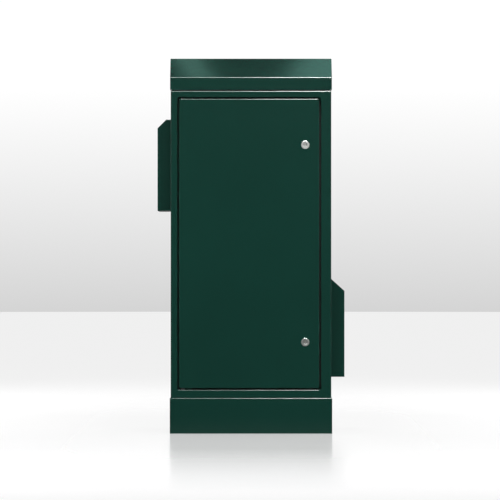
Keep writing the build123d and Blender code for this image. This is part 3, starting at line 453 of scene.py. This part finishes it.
def islands(node, reach):
    # The box of each separate solid of a group: points within reach of a first point belong to it.
    mesh = nodes[node].data
    points = np.empty(len(mesh.vertices) * 3)
    mesh.vertices.foreach_get("co", points)
    points = points.reshape(-1, 3)
    boxes = []
    while len(points):
        near = np.abs(points - points[0]).max(axis=1) < reach
        boxes.append((points[near].min(axis=0), points[near].max(axis=0)))
        points = points[~near]
    return boxes


# Camera and studio.
# The camera is level and far off, and looks straight at the door.
shot = {"aimX": -0.0033, "aimZ": 0.6105, "distance": 12.0, "width": 1.6625, "sensor": 36.0}
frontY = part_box("door_panel")[0][1]
cameraData = bpy.data.cameras.new("camera")
cameraData.sensor_width = shot["sensor"]
cameraData.lens = shot["sensor"] * shot["distance"] / shot["width"]
cameraData.clip_end = 200.0
camera = bpy.data.objects.new("camera", cameraData)
camera.location = (shot["aimX"], frontY - shot["distance"], shot["aimZ"])
camera.rotation_euler = (math.radians(90), 0, 0)
bpy.context.scene.collection.objects.link(camera)
bpy.context.scene.camera = camera
bpy.context.scene.view_settings.view_transform = "Standard"
print("camera placed")

studio = {
    "radius": 23.5,
    "wallHeight": 9.0,
    "wallLow": 0.66,
    "wallHigh": 1.02,
    "wallFade": 2.3,
    "floorGlow": 0.85,
    "floorBase": 0.16,
    "cloudScale": 0.6,
    "cloudLift": 1.06,
    "mirror": 0.45,
    "mirrorEnd": 3.1,
    "mirrorFade": 2.0,
    "mirrorHalfWidth": 0.95,
    "mirrorSideFade": 0.5,
    "mirrorRoughness": 0.17,
    "floorSpread": 1.02,
    "world": 0.11,
}


def stagePiece(name, verts, faces, material):
    mesh = bpy.data.meshes.new(name)
    mesh.from_pydata(np.asarray(verts).tolist(), [], faces)
    mesh.materials.append(material)
    piece = bpy.data.objects.new(name, mesh)
    bpy.context.scene.collection.objects.link(piece)
    return piece


def wallPaint():
    # A backdrop that glows from light grey at the floor to white above.
    paint = Paint("backdrop")
    height = paint.axes(paint.point)[2]
    rise = (height / studio["wallFade"]).unit()
    white = (1, 1, 1)
    colour = paint.blend(tint(white, studio["wallLow"]), tint(white, studio["wallHigh"]), rise)
    glow = paint.node("ShaderNodeEmission", {}, {"Color": colour, "Strength": 1.0})
    return paint.end(glow)


def floorPaint():
    # A pale floor: part glow, part matt, with a soft mirror that fades away from the object.
    paint = Paint("paleFloor")
    white = (1, 1, 1)
    base = studio["floorBase"]
    cloud = paint.noise(studio["cloudScale"])
    matt = paint.blend(tint(white, base), tint(white, base * studio["cloudLift"]), cloud)
    diffuse = paint.node("ShaderNodeBsdfDiffuse", {}, {"Color": matt})
    glow = paint.node("ShaderNodeEmission", {}, {"Color": tint(white), "Strength": studio["floorGlow"]})
    pale = paint.node("ShaderNodeAddShader", {}, {0: diffuse, 1: glow})
    links = {"Color": tint(white), "Roughness": studio["mirrorRoughness"]}
    mirror = paint.node("ShaderNodeBsdfAnisotropic", {}, links)
    x, y, z = paint.axes(paint.point)
    near = ((studio["mirrorEnd"] - abs(y)) / studio["mirrorFade"]).unit()
    beside = ((studio["mirrorHalfWidth"] - abs(x)) / studio["mirrorSideFade"]).unit()
    share = near * beside * studio["mirror"]
    return paint.end(paint.node("ShaderNodeMixShader", {}, {0: share, 1: pale, 2: mirror}))


def ring(radius, height, first, last, count=48):
    # An upright wall on part of a circle, from one angle to another.
    angle = np.linspace(first, last, count)
    low = np.stack([radius * np.cos(angle), radius * np.sin(angle), 0 * angle], axis=1)
    return np.concatenate([low, low + [0, 0, height]]), quads(2, count, wrapColumns=False)


backdrop = wallPaint()
wallSize = (studio["radius"], studio["wallHeight"])
rearWall = stagePiece("rear_wall", *ring(*wallSize, 0, np.pi), backdrop)
frontWall = stagePiece("front_wall", *ring(*wallSize, np.pi, 2 * np.pi), backdrop)
for wall in (rearWall, frontWall):
    wall.visible_diffuse = False
    wall.visible_shadow = False
frontWall.visible_glossy = False
spread = studio["radius"] * studio["floorSpread"]
floorVerts = [(-spread, -spread, 0), (spread, -spread, 0), (spread, spread, 0), (-spread, spread, 0)]
paleFloor = stagePiece("pale_floor", floorVerts, [(0, 1, 2, 3)], floorPaint())
paleFloor.visible_glossy = False
paleFloor.visible_diffuse = False

# Soft boxes: place, the point each one faces, width, height, brightness and tint.
softBoxes = {
    "strip": ((0.44, -1.75, 3.15), (0.40, -0.2, 1.18), 0.80, 1.7, 74.0, (1.0, 1.0, 0.99)),
    "softStrip": ((-0.20, -1.75, 3.15), (-0.18, -0.2, 1.18), 0.46, 1.7, 22.0, (0.92, 1.0, 0.97)),
    "leftFill": ((-1.90, -2.90, 1.10), (0.0, 0.0, 0.65), 1.1, 1.9, 9.4, (0.97, 0.98, 1.0)),
    "rightFill": ((2.10, -2.80, 1.10), (0.0, 0.0, 0.65), 1.0, 1.9, 11.0, (1.0, 0.98, 0.99)),
    "front": ((0.20, -2.40, 2.00), (0.0, -0.2, 1.0), 1.4, 1.2, 4.0, (1.0, 0.98, 1.0)),
    "overRight": ((0.49, -0.15, 2.50), (0.46, -0.20, 1.2), 0.62, 0.9, 2.4, (0.43, 1.0, 0.86)),
    "overLeft": ((-0.188, -0.15, 2.20), (-0.158, -0.20, 1.2), 0.08, 0.7, 2.3, (0.46, 1.0, 0.85)),
    "rearLeft": ((-2.60, 2.60, 1.70), (0.0, 0.0, 0.6), 1.4, 1.6, 13.0, (1.0, 1.0, 1.0)),
    "rearRight": ((2.60, 2.60, 1.70), (0.0, 0.0, 0.6), 1.4, 1.6, 13.0, (1.0, 1.0, 1.0)),
}


def softBox(name, place, target, width, height, brightness, colour):
    # A Lambert panel of a given brightness gives pi times its area times that brightness in watts.
    data = bpy.data.lights.new(name, "AREA")
    data.shape = "RECTANGLE"
    data.size = width
    data.size_y = height
    data.energy = math.pi * width * height * brightness
    data.color = colour
    lamp = bpy.data.objects.new(name, data)
    away = np.array(place) - np.array(target)
    yaw = math.atan2(away[0], -away[1])
    tilt = math.atan2(math.hypot(away[0], away[1]), away[2])
    lamp.rotation_euler = (tilt, 0, yaw)
    lamp.location = place
    lamp.visible_camera = False
    bpy.context.scene.collection.objects.link(lamp)
    return lamp


lamps = {name: softBox(name, *values) for name, values in softBoxes.items()}
for name in ("strip", "softStrip", "overRight", "overLeft"):
    lamps[name].visible_diffuse = False  # these only draw highlights along the folds and the roof
world = bpy.data.worlds.new("studio")
world.use_nodes = True
world.node_tree.nodes["Background"].inputs["Color"].default_value = tint((1, 1, 1))
world.node_tree.nodes["Background"].inputs["Strength"].default_value = studio["world"]
bpy.context.scene.world = world
for name in ("front", "leftFill", "rightFill", "rearLeft", "rearRight"):
    lamps[name].visible_glossy = False  # level lamps would mirror in the door, the lid and the edges
print("studio lit")


# Finishes of the CAD pieces.
slots = {row["node"]: row["material_slot"] for row in frame["record"]["subparts"]}
bodies = frame["record"]["behaviour"]["bodies"]
bodyOf = {node: body for body, held in bodies.items() for node in held}
lockAxes = {"upper": 1, "lower": 1, "hatch": 0}


def centreOf(node):
    low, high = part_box(node)
    return [(a + b) / 2 for a, b in zip(low, high)]


def finishOf(node):
    slot = slots[node]
    if slot == "green_powder_coat":
        return powderCoat(node + "_coat", *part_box(node))
    if slot == "lock_chrome":
        place = node.split("_")[0]
        return lockChrome(node + "_chrome", centreOf(place + "_lock_housing"), lockAxes[place])
    if slot == "blackened_steel":
        return blackenedSteel(node + "_black")
    if slot == "black_rubber":
        return mouldedBlack(node + "_rubber", "rubber")
    if slot == "black_nylon":
        return mouldedBlack(node + "_nylon", "nylon")
    smallParts = ("bolts", "rivets", "screw", "pins", "rod", "cam", "nut")
    if any(word in node for word in smallParts):
        return platedSteel(node + "_plating")
    return zincCoat(node + "_zinc")


finishes = {node: finishOf(node) for node in nodes}
for node, material in finishes.items():
    for slot in nodes[node].material_slots:
        slot.material = material
print("finishes laid on", len(finishes), "pieces")

# Fasteners.
# Blind rivets: a low domed head with the hole that the pulled mandrel leaves. Lengths in metres.
blindRivet = {"segments": 20, "head": 0.0012, "shank": 0.0020, "reach": 0.024}
# Each row of the head is a radius and a height over the sheet: dome, mandrel hole, then mandrel end.
rivetHead = [
    (0.0020, 0.00000),
    (0.0040, 0.00000),
    (0.0040, 0.00030),
    (0.00385, 0.00052),
    (0.0034, 0.00078),
    (0.0027, 0.00102),
    (0.0020, 0.00117),
    (0.00155, 0.00120),
    (0.00130, 0.00108),
    (0.00118, 0.00050),
    (0.00095, 0.00046),
    (0.00090, 0.00078),
    (0.00060, 0.00092),
    (0.0, 0.00096),
]


def alongAxis(box, axis, side, head):
    # The seat, the far end and the middle of a fastener whose head stands on one side of an axis.
    low, high = box
    middle = (low + high) / 2
    tip = high[axis] if side > 0 else low[axis]
    foot = low[axis] if side > 0 else high[axis]
    seat = tip - side * head
    middle[axis] = 0.0
    return seat, foot, middle


def rivetGrids(node, axis, sideOf):
    # Each rivet is its profile carried round its own axis, and turned over where its head faces back.
    grids = []
    for box in islands(node, blindRivet["reach"]):
        side = sideOf(box)
        seat, foot, middle = alongAxis(box, axis, side, blindRivet["head"])
        shank = [(0.0, foot), (blindRivet["shank"], foot)]
        profile = shank + [(r, seat + side * t) for r, t in rivetHead]
        grids.append(turned(profile, axis, middle, blindRivet["segments"]))
    return grids


def replaceWith(name, grids, node, material):
    # One piece from closed grids, on the body and slot of the node that it stands for.
    verts, faces = gather(grids)
    piece = build(name, verts, faces, bodyOf[node], material)
    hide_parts(node)
    return piece


panelGrids = rivetGrids("panel_rivets", 1, lambda box: 1)
replaceWith("panel_blind_rivets", panelGrids, "panel_rivets", platedSteel("panel_rivet_plating"))
hoodGrids = rivetGrids("hood_rivets", 0, lambda box: 1 if box[0][0] < 0 else -1)
replaceWith("hood_blind_rivets", hoodGrids, "hood_rivets", platedSteel("hood_rivet_plating"))

# Hexagon bolts and nuts: a cone cut by a hexagonal prism, which leaves the curved chamfers.
hexBolt = {
    "frame_bolts": {
        "flats": 0.013,
        "radius": 0.004,
        "head": 0.0053,
        "nut": 0.0065,
        "side": 1,
        "tail": 0.0020,
        "pitch": 0.00125,
    },
    "lid_bolts": {
        "flats": 0.010,
        "radius": 0.003,
        "head": 0.0040,
        "nut": 0.0050,
        "side": -1,
        "tail": 0.0020,
        "pitch": 0.0010,
    },
}
boltShape = {
    "segments": 36,
    "reach": 0.024,
    "stepsPerPitch": 8,
    "threadDepth": 0.5,
    "bevel": 0.55,
    "circle": 0.95,
    "dishOuter": 0.80,
    "dishInner": 0.76,
    "dish": 0.0003,
    "seatRound": 0.0002,
    "boreRound": 0.0004,
    "boreRoom": 1.02,
    "nutFarBevel": 0.4,
}


def hexagon(flats):
    # The radius of a cone or rod, cut to the distance of the nearest of six flats.
    def cut(radius, angle):
        turn = np.mod(angle + np.pi / 6, np.pi / 3) - np.pi / 6
        return np.minimum(radius, flats / 2 / np.cos(turn))
    return cut


def thread(radius, start, end, pitch, middle):
    # A rod whose radius dips once for each pitch; the dip climbs by a pitch in every turn.
    steps = int(abs(end - start) / pitch * boltShape["stepsPerPitch"])
    height = np.linspace(start, end, steps)[:, None]
    angle = np.linspace(0, 2 * np.pi, boltShape["segments"], endpoint=False)[None, :]
    phase = height / pitch - angle / (2 * np.pi)
    dip = 1 - np.abs(2 * np.mod(phase, 1.0) - 1)
    across = radius - boltShape["threadDepth"] * pitch * dip
    across[0] = 0.0
    across[-1] = 0.0
    wide = np.stack([across * np.cos(angle), across * np.sin(angle), height + 0 * angle], axis=2)
    return wide + middle


def boltGrids(node):
    # The head, nut and threaded rod of each bolt. Head and nut are turned and cut to a hexagon.
    look = hexBolt[node]
    shape = boltShape
    flat = look["flats"] / 2
    corner = flat / math.cos(math.pi / 6)
    bevel = (corner - flat) * shape["bevel"]
    inner = flat * shape["circle"]
    bore = look["radius"] * shape["boreRoom"]
    side = look["side"]
    cut = hexagon(look["flats"])
    grids = []
    for box in islands(node, shape["reach"]):
        seat, foot, middle = alongAxis(box, 2, side, look["head"])
        top = seat + side * look["head"]
        floor = top - side * shape["dish"]
        near = foot + side * look["tail"]
        far = near + side * look["nut"]
        head = [
            (0.0, seat),
            (inner, seat),
            (corner, seat + side * shape["seatRound"]),
            (corner, top - side * bevel),
            (inner, top),
            (inner * shape["dishOuter"], top),
            (inner * shape["dishInner"], floor),
            (0.0, floor),
        ]
        nut = [
            (bore, near + side * shape["boreRound"]),
            (bore + shape["boreRound"], near),
            (inner, near),
            (corner, near + side * bevel),
            (corner, far - side * bevel * shape["nutFarBevel"]),
            (inner, far),
            (bore, far),
        ]
        grids.append(turned(head, 2, middle, shape["segments"], cut))
        grids.append(turned(nut + nut[:1], 2, middle, shape["segments"], cut))
        grids.append(thread(look["radius"], foot, seat, look["pitch"], middle))
    return grids


for node, name in (("frame_bolts", "frame_hex_bolts"), ("lid_bolts", "lid_hex_bolts")):
    replaceWith(name, boltGrids(node), node, platedSteel(name + "_plating"))
print("fasteners made")

# Rubber pieces.
# Seal section: a flat foot with a round bulb on it. Across is in half widths, up is in heights.
sealSection = [(-1.0, 0.0), (1.0, 0.0), (1.0, 0.16), (0.94, 0.24), (0.66, 0.27)]
sealLook = {"bulb": 0.62, "bulbSteps": 17, "cornerSteps": 9, "wrap": 0.30, "endHeight": 0.42}


def sealLoop(half, height):
    # The foot's corners, then the bulb as an arc from its right side over the top to its left side.
    angle = np.linspace(-sealLook["wrap"], np.pi + sealLook["wrap"], sealLook["bulbSteps"])
    radius = half * sealLook["bulb"]
    rise = height - radius
    bulb = np.stack([radius * np.cos(angle), rise + radius * np.sin(angle)], axis=1)
    foot = np.array(sealSection) * [half, height]
    mirrored = foot[2:][::-1] * [-1, 1]
    return np.concatenate([foot, bulb, mirrored])


def sealPath(corners, radius):
    # Straight runs joined by quarter circles, each with the unit vector that points across it.
    points = []
    across = []
    count = len(corners)
    for i, corner in enumerate(corners):
        corner = np.array(corner)
        if i == 0 or i == count - 1:
            run = np.array(corners[1]) - corner if i == 0 else corner - np.array(corners[-2])
            run = run / np.linalg.norm(run)
            points.append(corner[None, :])
            across.append(np.array([[run[1], -run[0]]]))
            continue
        before = corner - np.array(corners[i - 1])
        after = np.array(corners[i + 1]) - corner
        before = before / np.linalg.norm(before)
        after = after / np.linalg.norm(after)
        centre = corner - before * radius + after * radius
        turn = np.linspace(0, np.pi / 2, sealLook["cornerSteps"])[:, None]
        outward = -after * np.cos(turn) + before * np.sin(turn)
        points.append(centre + outward * radius)
        heading = before * np.cos(turn) + after * np.sin(turn)
        across.append(np.stack([heading[:, 1], -heading[:, 0]], axis=1))
    return np.concatenate(points), np.concatenate(across)


def sealGrid(corners, radius, half, height, axis, base, side):
    # The section carried along the path, in the plane across the given axis; the ends are closed.
    points, across = sealPath(corners, radius)
    loop = sealLoop(half, height)
    place = points[:, None, :] + across[:, None, :] * loop[None, :, :1]
    rise = base + side * loop[None, :, 1] + 0 * place[:, :, 0]
    ends = [np.tile(row.mean(axis=0), (row.shape[0], 1)) for row in (place[0], place[-1])]
    endRise = np.full(loop.shape[0], base + side * height * sealLook["endHeight"])
    place = np.concatenate([ends[0][None], place, ends[1][None]])
    rise = np.concatenate([endRise[None], rise, endRise[None]])
    planes = {0: (rise, place[:, :, 0], place[:, :, 1]), 1: (place[:, :, 0], rise, place[:, :, 1])}
    return np.stack(planes[axis], axis=2)


def sealPiece(name, node, corners, radius, half, height, axis, base, side):
    grid = sealGrid(corners, radius, half, height, axis, base, side)
    replaceWith(name, [grid], node, mouldedBlack(name + "_rubber", "rubber"))


seals = {"wide": 0.006, "narrow": 0.004, "doorCorner": 0.010, "sideCorner": 0.007}
low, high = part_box("door_seal")
w = seals["wide"]
left = low[0]
right = high[0] - w
bottom = low[2] + w
top = high[2] - w
doorCorners = [(left, bottom), (right, bottom), (right, top), (left, top)]
deep = high[1] - low[1]
sealPiece("door_bulb_seal", "door_seal", doorCorners, seals["doorCorner"], w, deep, 1, high[1], -1)
low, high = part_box("hopper_seal")
w = seals["narrow"]
front = low[1] + w
rear = high[1] - w
top = high[2] - w
hopperCorners = [(front, low[2]), (front, top), (rear, top), (rear, low[2])]
deep = high[0] - low[0]
sideCorner = seals["sideCorner"]
sealPiece("hopper_bulb_seal", "hopper_seal", hopperCorners, sideCorner, w, deep, 0, high[0], -1)
low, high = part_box("hatch_seal")
front = low[1] + w
bottom = low[2] + w
top = high[2] - w
hatchCorners = [(high[1], bottom), (front, bottom), (front, top), (high[1], top)]
deep = high[0] - low[0]
sealPiece("hatch_bulb_seal", "hatch_seal", hatchCorners, sideCorner, w, deep, 0, low[0], 1)

# Floor mat: half-round ribs across the floor with a plain sloping border.
mat = {
    "pitch": 0.0064,
    "ribDepth": 0.0016,
    "border": 0.012,
    "borderSlope": 0.7,
    "ribStart": 0.8,
    "lip": 0.002,
    "lipHeight": 0.45,
    "rowsPerRib": 6,
}


def matPiece():
    # Height over the floor: full at the ribs' crests, and a slope down to the foot at the border.
    low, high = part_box("floor_mat")
    ribs = int((high[1] - low[1] - 2 * mat["border"]) / mat["pitch"])
    slopeWidth = mat["border"] * mat["borderSlope"]
    y = np.linspace(low[1], high[1], ribs * mat["rowsPerRib"] + 1)
    steps = np.array([0.0, mat["lip"], slopeWidth, mat["border"]])
    x = np.concatenate([low[0] + steps, high[0] - steps[::-1]])
    x, y = np.meshgrid(x, y, indexing="ij")
    inset = np.minimum(np.minimum(x - low[0], high[0] - x), np.minimum(y - low[1], high[1] - y))
    thick = high[2] - low[2]
    slope = np.clip(mat["lipHeight"] + (1 - mat["lipHeight"]) * inset / slopeWidth, 0, 1)
    ribStart = mat["border"] * mat["ribStart"]
    ribbed = np.clip((inset - ribStart) / (mat["border"] - ribStart), 0, 1)
    wave = np.abs(np.sin(np.pi * (y - low[1]) / mat["pitch"]))
    top = low[2] + thick * slope - mat["ribDepth"] * ribbed * (1 - wave)
    upper = np.stack([x, y, top], axis=2)
    lower = np.stack([x, y, low[2] + 0 * x], axis=2)
    rows, columns = x.shape
    under = rows * columns
    faces = quads(rows, columns, 0, False) + quads(rows, columns, under, False)
    edge = np.concatenate([np.arange(columns), np.arange(1, rows) * columns + columns - 1,
                           (rows - 1) * columns + np.arange(columns - 2, -1, -1),
                           np.arange(rows - 2, 0, -1) * columns])
    after = np.roll(edge, -1)
    faces += np.stack([edge, after, after + under, edge + under], axis=1).tolist()
    verts = np.concatenate([upper.reshape(-1, 3), lower.reshape(-1, 3)])
    piece = build("ribbed_floor_mat", verts, faces, bodyOf["floor_mat"],
                  mouldedBlack("ribbed_mat_rubber", "rubber"))
    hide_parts("floor_mat")


matPiece()

# Hopper buffers: a cup foot with a domed nose. Radii and heights are shares of the whole.
buffer = {"segments": 32, "reach": 0.02}
bufferProfile = [
    (0.0, 0.0),
    (0.92, 0.0),
    (1.0, 0.06),
    (1.0, 0.26),
    (0.90, 0.34),
    (0.80, 0.42),
    (0.78, 0.60),
    (0.68, 0.78),
    (0.50, 0.91),
    (0.27, 0.98),
    (0.0, 1.0),
]
bufferGrids = []
for low, high in islands("hopper_buffers", buffer["reach"]):
    middle = (low + high) / 2
    middle[0] = 0.0
    radius = (high[2] - low[2]) / 2
    profile = [(r * radius, low[0] + t * (high[0] - low[0])) for r, t in bufferProfile]
    bufferGrids.append(turned(profile, 0, middle, buffer["segments"]))
bufferRubber = mouldedBlack("buffer_rubber", "rubber")
replaceWith("hopper_domed_buffers", bufferGrids, "hopper_buffers", bufferRubber)
print("rubber pieces made")
